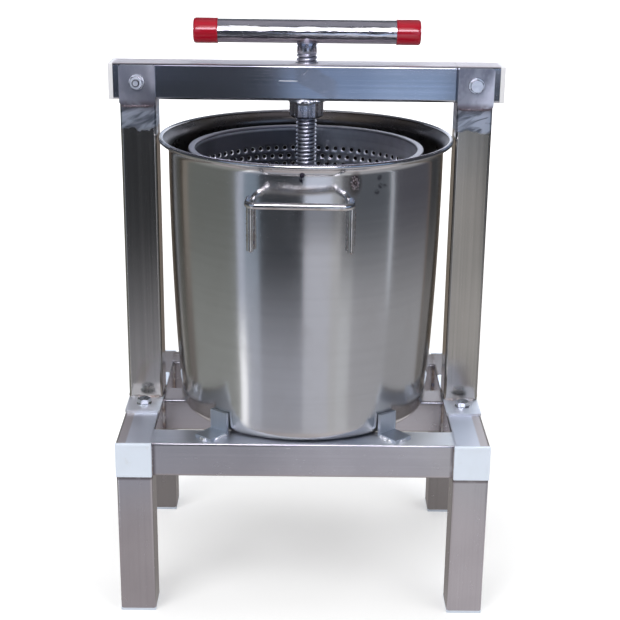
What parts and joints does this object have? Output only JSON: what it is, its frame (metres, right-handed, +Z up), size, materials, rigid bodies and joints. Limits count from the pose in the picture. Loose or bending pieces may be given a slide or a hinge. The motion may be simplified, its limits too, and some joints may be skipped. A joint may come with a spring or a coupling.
{
  "type": "honey press",
  "caption": "Screw press for honey: a perforated basket in a steel pot on a square-tube stand, pressed by a plate under a T-handled screw in the cross beam.",
  "frame": {"origin": "on the floor under the centre of the pot", "axes": "+Z up along the screw, +Y to the back, +X to the right of someone who faces the press"},
  "size_m": [0.4176, 0.3666, 0.6249],
  "materials": {
    "frame_steel": "brushed stainless steel tube and plate",
    "polished_steel": "polished stainless steel",
    "basket_steel": "satin stainless steel sheet",
    "plate_steel": "brushed stainless steel plate",
    "screw_steel": "machined stainless steel",
    "zinc_steel": "bright zinc-plated steel",
    "white_plastic": "white moulded plastic",
    "red_vinyl": "glossy red vinyl"
  },
  "bodies": {
    "frame": {"basket_floor": "basket_steel", "basket_lip": "basket_steel", "basket_wall": "basket_steel", "beam_bolts": "zinc_steel", "beam_cap_left": "white_plastic", "beam_cap_right": "white_plastic", "beam_lug_front_left": "frame_steel", "beam_lug_front_right": "frame_steel", "beam_lug_rear_left": "frame_steel", "beam_lug_rear_right": "frame_steel", "beam_nuts": "zinc_steel", "beam_washers": "zinc_steel", "cross_beam": "frame_steel", "foot_bolts": "zinc_steel", "foot_cap_front_left": "white_plastic", "foot_cap_front_right": "white_plastic", "foot_cap_rear_left": "white_plastic", "foot_cap_rear_right": "white_plastic", "foot_flange_left": "frame_steel", "foot_flange_right": "frame_steel", "foot_nuts": "zinc_steel", "foot_washers": "zinc_steel", "front_rail": "frame_steel", "leg_front_left": "frame_steel", "leg_front_right": "frame_steel", "leg_rear_left": "frame_steel", "leg_rear_right": "frame_steel", "middle_rail": "frame_steel", "pot_floor": "polished_steel", "pot_foot": "polished_steel", "pot_handle_front": "polished_steel", "pot_handle_rear": "polished_steel", "pot_rim": "polished_steel", "pot_side": "polished_steel", "pot_stop_front_left": "frame_steel", "pot_stop_front_right": "frame_steel", "pot_stop_rear_left": "frame_steel", "pot_stop_rear_right": "frame_steel", "rail_cap_front_left": "white_plastic", "rail_cap_front_right": "white_plastic", "rail_cap_rear_left": "white_plastic", "rail_cap_rear_right": "white_plastic", "rear_rail": "frame_steel", "screw_nut": "screw_steel", "side_rail_left": "frame_steel", "side_rail_right": "frame_steel", "upright_left": "frame_steel", "upright_right": "frame_steel"},
    "plate": {"press_plate": "plate_steel", "swivel_socket": "plate_steel", "socket_screws": "zinc_steel", "plate_ribs": "plate_steel"},
    "screw": {"spindle": "screw_steel", "handle_tube": "frame_steel", "handle_grip_left": "red_vinyl", "handle_grip_right": "red_vinyl"}
  },
  "joints": [
    {"name": "plate_travel", "type": "slide", "parent": "frame", "child": "plate", "axis": [0, 0, 1], "range_m": [-0.017, 0.2505]},
    {"name": "screw_turn", "type": "hinge", "parent": "plate", "child": "screw", "pos_m": [0, 0, 0.4], "axis": [0, 0, 1], "range_deg": [-1440, 21240]}
  ],
  "couplings": [
    {"joint": "plate_travel", "follows": "screw_turn", "m_per_rad": 0.0006737}
  ]
}
